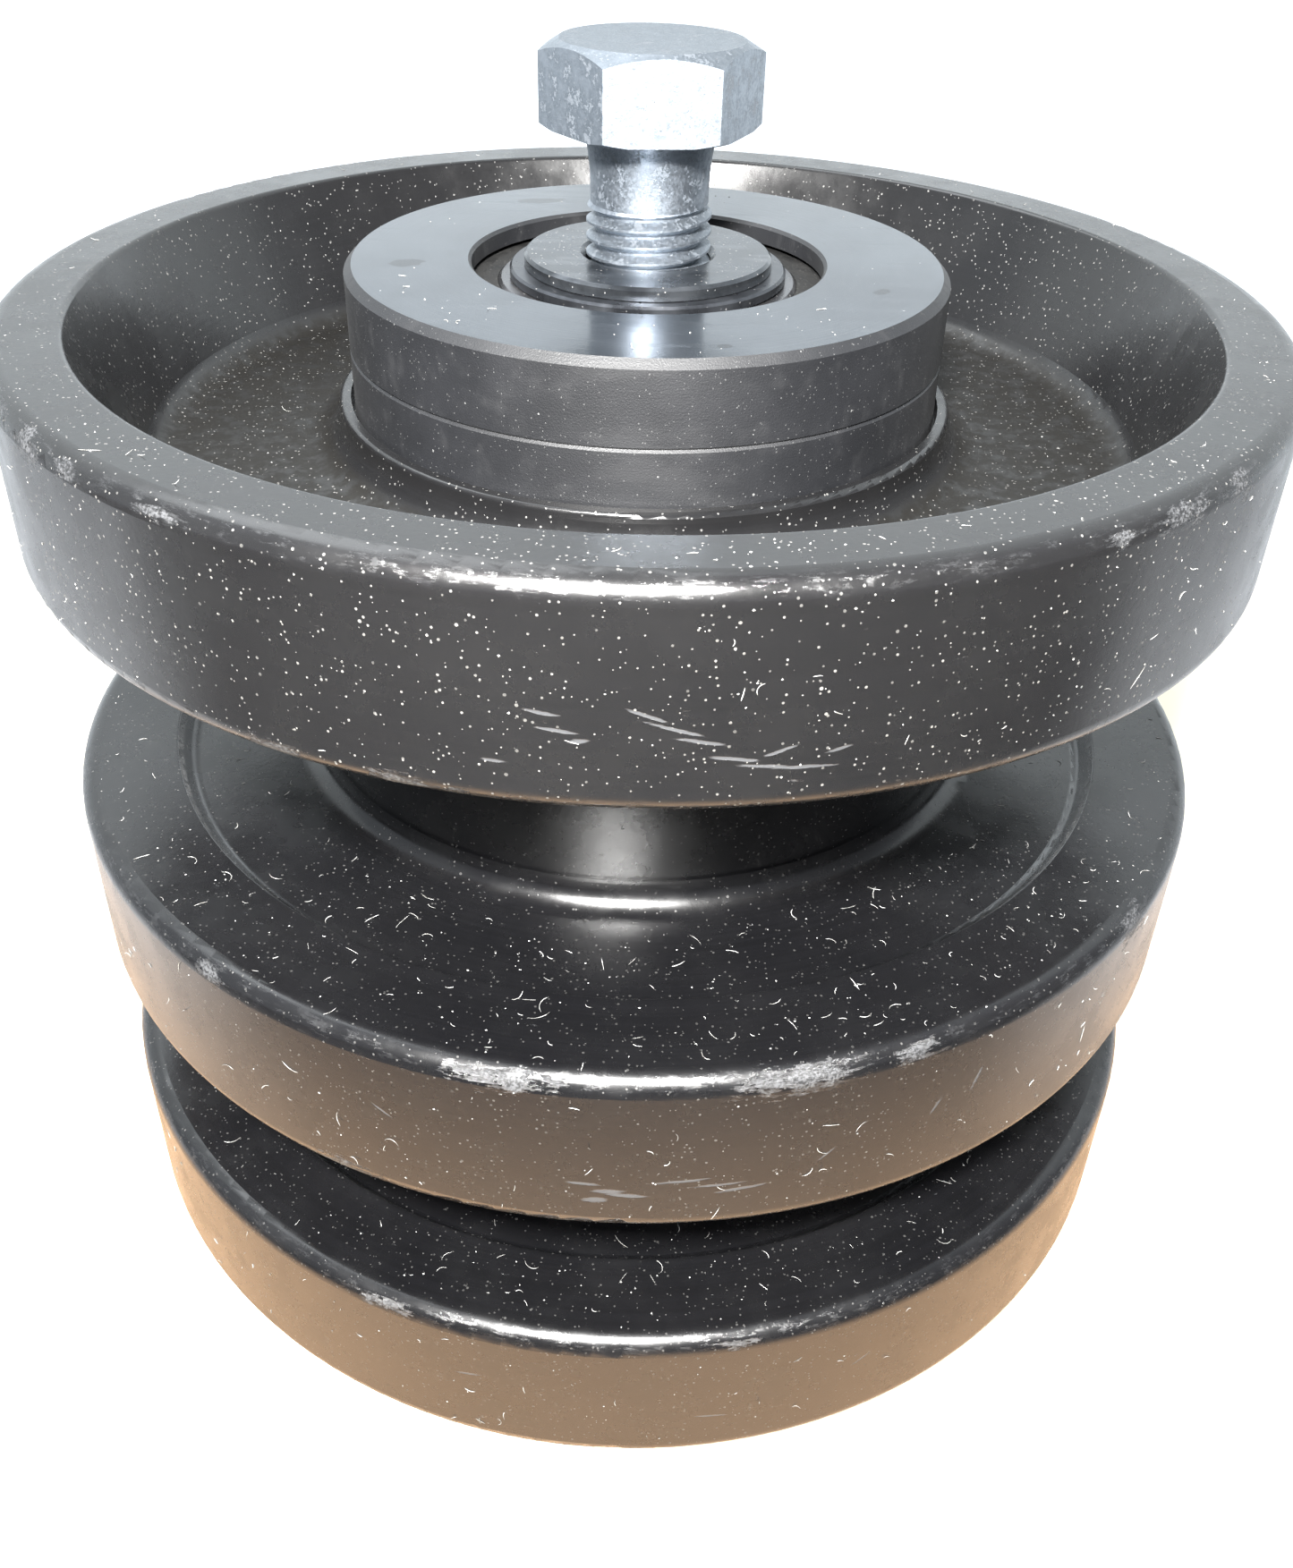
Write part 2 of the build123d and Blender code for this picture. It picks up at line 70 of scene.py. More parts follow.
class Shader:
    """A Principled material under construction, with short calls for the nodes it needs."""

    def __init__(self, name):
        self.mat = bpy.data.materials.new(name)
        self.mat.use_nodes = True
        self.tree = self.mat.node_tree
        self.bsdf = self.tree.nodes["Principled BSDF"]
        coords = self.node("ShaderNodeTexCoord")
        scale = self.node("ShaderNodeVectorMath", operation="SCALE")
        self.link(coords.outputs["Object"], scale.inputs[0])
        scale.inputs["Scale"].default_value = 1 / MM
        self.mm = scale.outputs[0]  # row frame position in millimetres
        split = self.node("ShaderNodeSeparateXYZ")
        self.link(self.mm, split.inputs[0])
        self.x, self.y, self.z = split.outputs
        facing = self.node("ShaderNodeSeparateXYZ")
        self.link(coords.outputs["Normal"], facing.inputs[0])
        self.up = facing.outputs[2]

    def node(self, kind, **settings):
        made = self.tree.nodes.new(kind)
        for key, value in settings.items():
            setattr(made, key, value)
        return made

    def link(self, source, target):
        self.tree.links.new(source, target)

    def put(self, target, value):
        """Set a socket to a constant or link it."""
        if isinstance(value, bpy.types.NodeSocket):
            self.link(value, target)
        else:
            target.default_value = value

    def math(self, operation, *values):
        made = self.node("ShaderNodeMath", operation=operation)
        for socket, value in zip(made.inputs, values):
            self.put(socket, value)
        return made.outputs[0]

    def times(self, first, second):
        return self.math("MULTIPLY", first, second)

    def plus(self, first, second):
        return self.math("ADD", first, second)

    def minus(self, first, second):
        return self.math("SUBTRACT", first, second)

    def vector(self, x, y, z):
        made = self.node("ShaderNodeCombineXYZ")
        for socket, value in zip(made.inputs, (x, y, z)):
            self.put(socket, value)
        return made.outputs[0]

    def mapped(self, source, location=(0, 0, 0), turn=(0, 0, 0), scale=(1, 1, 1), kind="POINT"):
        made = self.node("ShaderNodeMapping", vector_type=kind)
        self.link(source, made.inputs["Vector"])
        made.inputs["Location"].default_value = location
        made.inputs["Rotation"].default_value = turn
        made.inputs["Scale"].default_value = scale
        return made.outputs[0]

    def noise(self, source, scale, detail=2.0, roughness=0.5):
        made = self.node("ShaderNodeTexNoise")
        self.link(source, made.inputs["Vector"])
        made.inputs["Scale"].default_value = scale
        made.inputs["Detail"].default_value = detail
        made.inputs["Roughness"].default_value = roughness
        return made.outputs["Fac"]

    def ramp(self, value, low, high, out_low=0.0, out_high=1.0, smooth=True):
        made = self.node("ShaderNodeMapRange", interpolation_type="SMOOTHSTEP" if smooth else "LINEAR")
        self.put(made.inputs["Value"], value)
        self.put(made.inputs["From Min"], low)
        self.put(made.inputs["From Max"], high)
        self.put(made.inputs["To Min"], out_low)
        self.put(made.inputs["To Max"], out_high)
        return made.outputs[0]

    def mix(self, factor, first, second):
        made = self.node("ShaderNodeMix", data_type="RGBA")
        self.put(made.inputs["Factor"], factor)
        for socket, value in ((made.inputs[6], first), (made.inputs[7], second)):
            if isinstance(value, bpy.types.NodeSocket):
                self.link(value, socket)
            else:
                socket.default_value = (*value, 1.0)
        return made.outputs[2]

    def blend(self, factor, first, second):
        """Mix two plain values."""
        made = self.node("ShaderNodeMix", data_type="FLOAT")
        self.put(made.inputs["Factor"], factor)
        self.put(made.inputs[2], first)
        self.put(made.inputs[3], second)
        return made.outputs[0]

    def any_of(self, masks):
        """The largest of several masks."""
        top = masks[0]
        for mask in masks[1:]:
            top = self.math("MAXIMUM", top, mask)
        return top

    def bump(self, height, strength, distance_mm, normal=None):
        made = self.node("ShaderNodeBump")
        made.inputs["Strength"].default_value = strength
        made.inputs["Distance"].default_value = distance_mm * MM
        self.link(height, made.inputs["Height"])
        if normal is not None:
            self.link(normal, made.inputs["Normal"])
        return made.outputs[0]

    def finish(self, color, roughness, normal, metallic=0.0, specular=0.5):
        """Link the finished channels and hand back the material."""
        self.link(color, self.bsdf.inputs["Base Color"])
        self.link(normal, self.bsdf.inputs["Normal"])
        self.put(self.bsdf.inputs["Roughness"], roughness)
        self.put(self.bsdf.inputs["Metallic"], metallic)
        self.put(self.bsdf.inputs["Specular IOR Level"], specular)
        return self.mat

    # ------------------------------------------------------------ patterns

    def polar(self):
        """(radius, arc length at the tread radius, height), in millimetres."""
        angle = self.math("ARCTAN2", self.y, self.x)
        return self.off_axis(), self.times(angle, WHEEL_RADIUS), self.z

    def off_axis(self):
        """Distance from the axle's centre line, in millimetres."""
        return self.math("SQRT", self.plus(self.times(self.x, self.x), self.times(self.y, self.y)))

    def turning_marks(self, radius, height, per_mm, detail, slip=0.0):
        """Noise that changes across a turned surface, and round it only as `slip` does."""
        across = self.vector(self.times(radius, per_mm), slip, self.times(height, per_mm))
        return self.noise(across, 1.0, detail=detail)

    def specks(self, cell, radius, share, seed):
        """Round specks in a `share` of the cells of a 3-D Voronoi pattern, sizes in millimetres.

        Gives the mask, and a tone from 0 to 1 that differs from cell to cell.
        """
        made = self.node("ShaderNodeTexVoronoi", feature="F1")
        source = self.mapped(self.mm, location=(seed * 7.3, seed * 3.1, seed * 5.7))
        self.link(source, made.inputs["Vector"])
        made.inputs["Scale"].default_value = 1 / cell
        parts = self.node("ShaderNodeSeparateColor")
        self.link(made.outputs["Color"], parts.inputs[0])
        chosen = self.math("LESS_THAN", parts.outputs[0], share)
        largest = radius / cell
        size = self.ramp(parts.outputs[1], 0.0, 1.0, SMALLEST_SPECK * largest, largest, smooth=False)
        dot = self.math("LESS_THAN", made.outputs["Distance"], size)
        return self.times(chosen, dot), parts.outputs[2]

    def spot(self, source, centre, size, turn=0.0):
        """1 at `centre`, falling to 0 at `size` away."""
        made = self.node("ShaderNodeTexGradient", gradient_type="SPHERICAL")
        local = self.mapped(source, location=centre, turn=(0, 0, turn), scale=size, kind="TEXTURE")
        self.link(local, made.inputs[0])
        return made.outputs["Fac"]


# ---------------------------------------------------------------- wheel enamel


def tread_centre(prefix):
    low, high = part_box(f"{prefix}_wheel")
    rim = high.z if OUTWARD[prefix] > 0 else low.z
    return rim / MM - OUTWARD[prefix] * TREAD_WIDTH / 2


# scuffs on the treads:
# (degrees from the front, height from mid-tread, half length, half width, tilt in degrees)
SCUFFS = {
    "upper": (
        (-5.5, -1.2, 2.6, 0.16, -8), (-4.6, -3.0, 3.0, 0.15, -6), (-3.2, -4.0, 1.8, 0.2, 6),
        (1.2, -1.0, 3.4, 0.16, -20), (2.9, -2.4, 5.0, 0.15, -16), (4.6, -3.8, 4.0, 0.17, -10),
        (6.8, -5.8, 4.2, 0.16, -8), (8.8, -6.8, 4.4, 0.15, -5), (11.5, -7.2, 5.0, 0.16, -2),
        (9.9, -5.2, 2.6, 0.14, 18), (-9.0, -7.0, 2.0, 0.13, 0), (14.0, -5.5, 2.0, 0.14, 12),
    ),
    "middle": (
        (-3.0, -4.2, 3.5, 0.2, -3), (-1.0, -5.4, 3.0, 0.3, 0), (0.5, -6.0, 4.0, 0.25, -4),
        (5.0, -3.6, 5.5, 0.16, 4), (8.0, -4.6, 6.0, 0.15, 2), (10.0, -5.6, 5.0, 0.18, 5),
        (-2.0, -7.0, 2.4, 0.4, 0), (31.0, 3.0, 3.0, 0.18, 70), (27.0, 1.0, 2.4, 0.15, 60),
        (-20.0, 2.0, 2.6, 0.12, -30), (17.0, -2.0, 2.4, 0.12, 40),
    ),
    "lower": (
        (-14.0, 2.0, 3.0, 0.14, 10), (9.0, -4.0, 3.6, 0.14, -6), (24.0, 1.0, 2.6, 0.13, 30),
        (150.0, 0.0, 4.0, 0.2, -6), (170.0, -3.0, 5.0, 0.15, 8),
    ),
}

# stretches of the outer edges knocked or rubbed bare:
# (degrees from the front, half width in degrees, edge, depth in millimetres)
WEAR = {
    "upper": (
        (-59, 7.0, "rim", 2.6), (-50, 4.0, "rim", 3.4), (-44, 3.0, "rim", 1.8), (-33, 4.0, "rim", 1.0),
        (41, 5.0, "rim", 1.8), (48, 3.5, "rim", 2.4), (34, 3.0, "rim", 1.2), (-26, 5.0, "back", 1.6),
        (-15, 6.0, "back", 1.2), (150, 6.0, "rim", 2.2), (205, 7.0, "back", 2.4), (110, 3.0, "rim", 1.6),
    ),
    "middle": (
        (-9, 7.0, "back", 2.0), (14, 9.0, "back", 2.6), (24, 4.0, "back", 1.8), (52, 4.0, "back", 3.4),
        (-38, 4.0, "back", 1.4), (-25, 6.0, "rim", 2.0), (160, 6.0, "back", 2.4), (230, 5.0, "rim", 2.0),
    ),
    "lower": (
        (-22, 5.0, "back", 1.2), (11, 4.0, "back", 1.0), (140, 6.0, "back", 2.2), (215, 5.0, "rim", 1.8),
    ),
}


def around(degrees):
    """Angle in radians, for degrees to the right of the front (-Y)."""
    return math.radians(degrees - 90)


def wheel_enamel(prefix):
    """Dusty black enamel with scuffed treads and knocked edges."""
    s = Shader(f"{prefix}_wheel_enamel")
    radius, arc, height = s.polar()
    middle = tread_centre(prefix)
    unrolled = s.vector(arc, s.minus(height, middle), 0.0)
    streak = s.noise(s.mapped(unrolled, scale=(0.35, 2.4, 1.0)), 1.1, detail=4.0, roughness=0.7)

    marks = []
    for degrees, up, length, width, tilt in SCUFFS[prefix]:
        place = (around(degrees) * WHEEL_RADIUS, up, 0.0)
        marks.append(s.spot(unrolled, place, (length * 1.15, width * 2.4, 1.0), math.radians(tilt)))
    on_tread = s.math("GREATER_THAN", radius, WHEEL_RADIUS - 1.2)
    scuff = s.ramp(s.plus(s.any_of(marks), s.times(streak, 0.9)), 0.85, 1.1)
    scuff = s.times(scuff, on_tread)

    # bare stretches grow from the corner line inwards, with a torn outline
    edge_distance = s.minus(WHEEL_RADIUS, radius)
    edge_height = TREAD_WIDTH / 2 - EDGE_ROUND / 2
    levels = {"rim": OUTWARD[prefix] * edge_height, "back": -OUTWARD[prefix] * edge_height}
    stretches = []
    for degrees, half, edge, depth in WEAR[prefix]:
        place = (around(degrees) * WHEEL_RADIUS, levels[edge], 0.0)
        patch = s.spot(unrolled, place, (math.radians(half) * WHEEL_RADIUS, 1.6 * depth, 1.0))
        stretches.append(s.times(patch, s.ramp(edge_distance, 0.3, 1.3 * depth, 1.0, 0.0)))
    # the wear runs in short streaks round the wheel
    lengthwise = s.vector(
        s.times(arc, 0.35), s.times(height, 1.5), s.times(radius, 1.5)
    )
    ragged = s.noise(lengthwise, 1.3, detail=6.0, roughness=0.75)
    patchy = s.noise(s.mapped(s.mm, location=(31, 7, 3)), 0.4, detail=4.0, roughness=0.6)
    grain = s.plus(s.times(ragged, 2.0), s.times(patchy, 1.2))
    chip = s.ramp(s.plus(s.times(s.any_of(stretches), 0.9), grain), 2.0, 2.4)

    # light wear all along both outer edges
    near_side = s.ramp(edge_distance, 0.0, 2.4, 1.0, 0.0)
    off_middle = s.math("ABSOLUTE", s.minus(height, middle))
    near_level = s.ramp(off_middle, TREAD_WIDTH / 2 - 2.6, TREAD_WIDTH / 2 - 0.5)
    on_edge = s.times(near_side, near_level)
    rubbed = s.times(on_edge, s.ramp(grain, 1.6, 2.0))
    bare = s.any_of([s.times(chip, 0.8), s.times(rubbed, 0.3)])

    fine, fine_tone = s.specks(0.8, 0.16, 0.85, SEED + 1)
    small, small_tone = s.specks(1.5, 0.19, 0.7, SEED + 2)
    big, _ = s.specks(4.0, 0.24, 0.35, SEED + 3)
    cloud = s.noise(s.mm, 0.045, detail=3.0)
    clouded = s.ramp(s.plus(cloud, s.times(fine_tone, 0.8)), 0.4, 1.2, 0.45, 1.0)
    fine = s.times(fine, clouded)
    small = s.times(small, s.ramp(small_tone, 0.0, 1.0, 0.3, 1.0, smooth=False))
    dusty = s.any_of([s.times(fine, 0.9), s.times(small, 0.9), big])
    dots = s.times(dusty, DUSTINESS[prefix])
    # brown dust settled on the web inside the cup, which lies 6.4 mm below mid-tread
    outward = s.times(s.minus(height, middle), OUTWARD[prefix])
    on_web = s.ramp(s.math("ABSOLUTE", s.plus(outward, 6.4)), 2.4, 0.6)
    in_cup = s.times(on_web, s.ramp(radius, 68, 63))
    settled = s.times(in_cup, s.ramp(patchy, 0.3, 0.6, 0.55, 1.0))
    # lint and dust caught in the step round the back recess
    step = s.ramp(s.math("ABSOLUTE", s.minus(radius, RECESS_RADIUS)), 0.15, 0.45, 1.0, 0.0)
    on_back = s.ramp(outward, -9.0, -10.5)
    caught = s.noise(s.mapped(s.mm, location=(5, 2, 9)), 0.7, detail=5.0, roughness=0.75)
    caught = s.times(s.times(step, on_back), s.ramp(caught, 0.42, 0.56, 0.1, 0.8))

    haze = s.ramp(s.noise(s.mm, 0.03, detail=4.0, roughness=0.6), 0.3, 0.75)
    turning = s.turning_marks(radius, height, 2.2, 3.0)
    color = s.mix(haze, (0.0012, 0.0013, 0.0019), (0.003, 0.003, 0.0036))
    color = s.mix(s.times(s.ramp(turning, 0.35, 0.7), 0.2), color, (0.0055, 0.0055, 0.007))
    color = s.mix(DUST_FILM * DUSTINESS[prefix], color, DUST_COLOR)
    color = s.mix(settled, color, (0.0068, 0.0061, 0.0052))
    color = s.mix(s.times(dots, 0.8), color, DUST_COLOR)
    color = s.mix(caught, color, (0.1, 0.1, 0.1))
    color = s.mix(s.times(scuff, 0.8), color, (0.045, 0.047, 0.052))
    bare_tone = s.ramp(s.noise(s.mm, 3.2, detail=5.0), 0.38, 0.62)
    bare_color = s.mix(bare_tone, (0.006, 0.006, 0.007), (0.075, 0.077, 0.082))
    color = s.mix(bare, color, bare_color)

    rough = s.ramp(s.noise(s.mm, 0.11, detail=5.0, roughness=0.65), 0.3, 0.7, 0.2, 0.31)
    rough = s.plus(rough, s.times(s.any_of([dots, scuff, bare]), 0.35))
    rough = s.plus(rough, s.times(settled, 0.2))
    peel = s.noise(s.mm, 1.4, detail=2.0)
    normal = s.bump(peel, 0.16, 0.06)
    normal = s.bump(turning, 0.12, 0.03, normal)
    normal = s.bump(dots, 0.5, 0.08, normal)
    normal = s.bump(s.minus(1.0, scuff), 0.5, 0.06, normal)
    worn = s.minus(1.0, s.times(bare, s.ramp(ragged, 0.3, 0.7, 0.5, 1.0)))
    normal = s.bump(worn, 0.5, 0.15, normal)
    return s.finish(color, rough, normal, specular=s.ramp(settled, 0.0, 1.0, 0.8, 0.22))


# ---------------------------------------------------------------- other finishes


# dark blots on the housing's end face: (x, y, half length, half width, turn in degrees)
STAINS = (
    (-30.5, -5.5, 3.4, 2.2, 20), (-16.0, 26.5, 5.0, 2.0, 10),
    (29.0, -12.0, 2.0, 1.2, 60), (9.0, -33.5, 1.4, 0.9, 0),
)


def housing_finish():
    """Blackened turned steel: satin sides, streaky reflective ends, light dust."""
    s = Shader("housing_blackened_steel")
    radius, arc, height = s.polar()
    rings = s.turning_marks(radius, height, 3.0, 4.0, slip=s.times(arc, 0.02))
    patch = s.noise(s.mm, 0.06, detail=4.0, roughness=0.6)
    blots = []
    for x, y, length, width, turn in STAINS:
        flat = s.vector(s.x, s.y, 0.0)
        blots.append(s.spot(flat, (x, y, 0.0), (length, width, 1.0), math.radians(turn)))
    torn = s.times(s.noise(s.mm, 0.7, detail=4.0), 0.7)
    stain = s.ramp(s.plus(s.any_of(blots), torn), 0.62, 0.74)
    wiped = s.mapped(s.mm, turn=(0, 0, 0.6), scale=(0.12, 1.2, 0.5))
    smear = s.ramp(s.noise(wiped, 0.5, detail=4.0), 0.5, 0.75)
    fine, _ = s.specks(0.55, 0.1, 0.8, SEED + 5)
    small, _ = s.specks(2.2, 0.16, 0.45, SEED + 6)
    end = s.ramp(s.math("ABSOLUTE", s.up), 0.8, 0.95)
    dots = s.any_of([s.times(fine, s.blend(end, 0.33, 0.05)), s.times(small, 0.8)])
    tone = s.ramp(patch, 0.3, 0.7)
    face_color = s.mix(tone, (0.068, 0.077, 0.09), (0.105, 0.118, 0.134))
    face_color = s.mix(s.times(stain, 0.75), face_color, (0.02, 0.021, 0.024))
    face_color = s.mix(s.times(smear, 0.3), face_color, (0.155, 0.168, 0.184))
    side_color = s.mix(tone, (0.0014, 0.0017, 0.0028), (0.0026, 0.003, 0.0046))
    color = s.mix(end, side_color, face_color)
    ring_color = s.mix(end, (0.005, 0.006, 0.008), (0.13, 0.142, 0.16))
    color = s.mix(s.times(rings, 0.2), color, ring_color)
    color = s.mix(s.times(dots, 0.8), color, (0.15, 0.15, 0.147))
    side = s.minus(1.0, end)
    rough = s.plus(s.ramp(patch, 0.3, 0.7, 0.11, 0.18), s.times(side, 0.4))
    rough = s.plus(rough, s.times(dots, 0.3))
    rough = s.plus(rough, s.times(smear, 0.1))
    normal = s.bump(rings, 0.25, 0.03)
    sparkle = s.noise(s.mm, 5.0, detail=2.0)
    normal = s.bump(s.times(sparkle, side), 0.5, 0.06, normal)
    normal = s.bump(dots, 0.5, 0.06, normal)
    metal = s.times(s.minus(1.0, dots), s.times(end, 0.85))
    return s.finish(color, rough, normal, metallic=metal, specular=0.8)


def zinc_finish():
    """Zinc-plated bolt: bright, mottled and slightly pitted, with dark dirt in the hollows and a painted
    darker reflection on its top faces.
    """
    s = Shader("bolt_zinc_plate")
    patch = s.noise(s.mm, 0.5, detail=6.0, roughness=0.7)
    fine = s.noise(s.mm, 2.4, detail=4.0, roughness=0.7)
    pits, _ = s.specks(1.9, 0.2, 0.4, SEED + 11)
    grain, _ = s.specks(0.55, 0.13, 0.7, SEED + 12)
    top = s.ramp(s.up, 0.75, 0.95)
    mottle = s.plus(patch, s.times(fine, 0.5))
    dirt = s.ramp(mottle, 0.79, 0.9)
    color = s.mix(s.ramp(mottle, 0.6, 0.9), (0.33, 0.365, 0.41), (0.21, 0.24, 0.275))
    # top faces painted darker: a painted reflection of the darker surroundings above them
    color = s.mix(s.times(top, 0.7), color, (0.12, 0.135, 0.15))
    color = s.mix(s.times(grain, 0.35), color, (0.5, 0.53, 0.56))
    color = s.mix(s.times(dirt, 0.5), color, (0.09, 0.095, 0.105))
    color = s.mix(s.times(pits, 0.75), color, (0.03, 0.03, 0.034))
    rough = s.plus(s.ramp(fine, 0.3, 0.7, 0.4, 0.56), s.times(top, 0.08))
    normal = s.bump(fine, 0.35, 0.07)
    sunk = s.any_of([pits, s.times(dirt, 0.4)])
    normal = s.bump(s.minus(1.0, sunk), 0.5, 0.08, normal)
    return s.finish(color, rough, normal, metallic=s.blend(s.any_of([dirt, pits]), 1.0, 0.5))


def turned_steel(name, dark, light, roughness, dust, metallic=0.9):
    """Turned or ground steel with fine rings; `dust` is the share of places that hold a speck."""
    s = Shader(name)
    rings = s.turning_marks(s.off_axis(), s.z, 4.0, 4.0)
    patch = s.noise(s.mm, 0.16, detail=5.0, roughness=0.65)
    fine, _ = s.specks(0.6, 0.11, dust, SEED + 15)
    color = s.mix(s.ramp(patch, 0.3, 0.7), dark, light)
    color = s.mix(s.times(rings, 0.35), color, light)
    color = s.mix(s.times(fine, 0.7), color, (0.13, 0.127, 0.12))
    rough = s.ramp(patch, 0.3, 0.7, roughness, roughness + 0.16)
    rough = s.plus(rough, s.times(fine, 0.3))
    normal = s.bump(rings, 0.22, 0.04)
    normal = s.bump(s.noise(s.mm, 2.0, detail=3.0), 0.15, 0.05, normal)
    normal = s.bump(fine, 0.4, 0.06, normal)
    return s.finish(color, rough, normal, metallic=s.blend(fine, metallic, 0.0))


def axle_finish():
    """Dull axle steel with a dusty end face, smears and a few rust spots."""
    s = Shader("axle_dull_steel")
    rings = s.turning_marks(s.off_axis(), s.z, 3.5, 4.0)
    patch = s.noise(s.mm, 0.14, detail=5.0, roughness=0.65)
    wiped = s.mapped(s.mm, location=(3, 8, 2), turn=(0, 0, 0.9), scale=(0.2, 1.0, 1.0))
    smear = s.ramp(s.noise(wiped, 0.6, detail=4.0), 0.48, 0.7)
    rust, _ = s.specks(4.5, 0.5, 0.12, SEED + 18)
    dust, _ = s.specks(0.65, 0.13, 0.6, SEED + 19)
    color = s.mix(s.ramp(patch, 0.3, 0.7), (0.045, 0.05, 0.057), (0.095, 0.104, 0.116))
    color = s.mix(s.times(smear, 0.45), color, (0.15, 0.16, 0.175))
    color = s.mix(s.times(dust, 0.7), color, (0.19, 0.185, 0.175))
    color = s.mix(s.times(rust, 0.8), color, (0.16, 0.05, 0.015))
    covered = s.any_of([dust, rust])
    rough = s.plus(s.ramp(patch, 0.3, 0.7, 0.16, 0.3), s.times(covered, 0.3))
    normal = s.bump(rings, 0.25, 0.05)
    normal = s.bump(covered, 0.5, 0.08, normal)
    return s.finish(color, rough, normal, metallic=s.blend(covered, 0.85, 0.0))


def rubber_finish():
    """Dusty black seal rubber."""
    s = Shader("seal_rubber_dusty")
    patch = s.noise(s.mm, 0.25, detail=5.0, roughness=0.7)
    grain = s.noise(s.mm, 3.0, detail=3.0)
    dust, _ = s.specks(0.5, 0.13, 0.8, SEED + 23)
    color = s.mix(s.ramp(patch, 0.3, 0.7), (0.0016, 0.0016, 0.0018), (0.007, 0.0068, 0.0064))
    color = s.mix(s.times(dust, 0.6), color, (0.06, 0.058, 0.055))
    normal = s.bump(grain, 0.3, 0.05)
    normal = s.bump(dust, 0.5, 0.07, normal)
    return s.finish(color, s.ramp(patch, 0.3, 0.7, 0.6, 0.85), normal, specular=0.35)


def cage_finish():
    """Moulded polyamide in its natural colour."""
    s = Shader("cage_polyamide_natural")
    patch = s.noise(s.mm, 0.3, detail=4.0)
    color = s.mix(s.ramp(patch, 0.3, 0.7), (0.62, 0.56, 0.42), (0.74, 0.69, 0.55))
    normal = s.bump(s.noise(s.mm, 4.0, detail=3.0), 0.15, 0.04)
    return s.finish(color, s.ramp(patch, 0.3, 0.7, 0.42, 0.58), normal, specular=0.45)


# by material slot, and for the wheels by node
FINISHES = {
    "housing_paint": housing_finish(),
    "axle_steel": axle_finish(),
    "zinc_plating": zinc_finish(),
    "spring_steel": turned_steel("spring_steel_oiled", (0.04, 0.043, 0.05), (0.1, 0.107, 0.12), 0.24, 0.4),
    "sleeve_steel": turned_steel("sleeve_turned_steel", (0.12, 0.12, 0.125), (0.24, 0.24, 0.245), 0.3, 0.3),
    "bearing_steel": turned_steel("bearing_ground_steel", (0.1, 0.1, 0.107), (0.2, 0.2, 0.21), 0.24, 0.5),
    "ball_steel": turned_steel("ball_polished_steel", (0.66, 0.67, 0.7), (0.76, 0.77, 0.8), 0.06, 0.0, 1.0),
    "cage_polyamide": cage_finish(),
    "seal_rubber": rubber_finish(),
}
for prefix in ROLLERS:
    FINISHES[f"{prefix}_wheel"] = wheel_enamel(prefix)

for part in frame["record"]["subparts"]:
    node = nodes[part["node"]]
    key = part["node"] if part["node"] in FINISHES else part["material_slot"]
    node.data.materials.clear()
    node.data.materials.append(FINISHES[key])


# ---------------------------------------------------------------- lint and crumbs on the surfaces


def lint_material():
    """Pale textile lint and dust crumbs."""
    s = Shader("lint_pale")
    tone = s.noise(s.mm, 0.8, detail=3.0)
    color = s.mix(s.ramp(tone, 0.35, 0.65), (0.16, 0.157, 0.148), (0.42, 0.42, 0.41))
    return s.finish(color, 0.8, s.bump(tone, 0.3, 0.05), specular=0.2)


LINT = lint_material()
LINT_REACH = 0.39  # lint lies within this share of the tread's width from its middle, on the flat

# flat rings that lint lies on: (height above the rim plane, inner radius, outer radius)
RIM_FACE = (0.0, 74.5, 79.8)
WEB = (-19.2, 47.0, 59.0)
HOUSING_END = (3.9, 24.5, 37.0)
BACK_FACE = (-TREAD_WIDTH, 70.0, 79.8)
BACK_RECESS = (-22.5, 54.0, 65.0)


def tread_spot(prefix):
    """A wheel's flat tread. A region's `pick` gives a point on it at an angle, with the surface's
    normal and two directions along the surface, in millimetres."""
    middle = tread_centre(prefix)

    def pick(rng, degrees):
        a = around(degrees)
        out = Vector((math.cos(a), math.sin(a), 0.0))
        up = middle + rng.uniform(-LINT_REACH, LINT_REACH) * TREAD_WIDTH
        along = Vector((-out.y, out.x, 0.0))
        return out * WHEEL_RADIUS + Vector((0, 0, up)), out, along, Vector((0, 0, 1))

    return pick


def ring_spot(prefix, ring):
    """A flat ring of a wheel, facing up."""
    height, inner, outer = ring
    level = tread_centre(prefix) + OUTWARD[prefix] * (TREAD_WIDTH / 2 + height)

    def pick(rng, degrees):
        a = around(degrees)
        out = Vector((math.cos(a), math.sin(a), 0.0))
        reach = math.sqrt(rng.uniform(inner ** 2, outer ** 2))
        along = Vector((-out.y, out.x, 0.0))
        return out * reach + Vector((0, 0, level)), Vector((0, 0, 1)), along, out

    return pick


def add_tube(verts, faces, points, radius, normal):
    """A closed tube with a four-sided section and pointed ends along `points`."""
    start = len(verts)
    count = len(points)
    for i, point in enumerate(points):
        ahead = (points[min(i + 1, count - 1)] - points[max(i - 1, 0)]).normalized()
        side = ahead.cross(normal).normalized()
        thick = radius * (0.35 if i in (0, count - 1) else 1.0)
        for across, up in ((-1, 0), (0, 1), (1, 0), (0, -1)):
            verts.append((point + side * across * thick + normal * up * thick) * MM)
    for i in range(count - 1):
        for k in range(4):
            a, b = start + 4 * i + k, start + 4 * i + (k + 1) % 4
            faces.append((a, b, b + 4, a + 4))
    faces.append((start + 3, start + 2, start + 1, start))
    end = start + 4 * (count - 1)
    faces.append((end, end + 1, end + 2, end + 3))


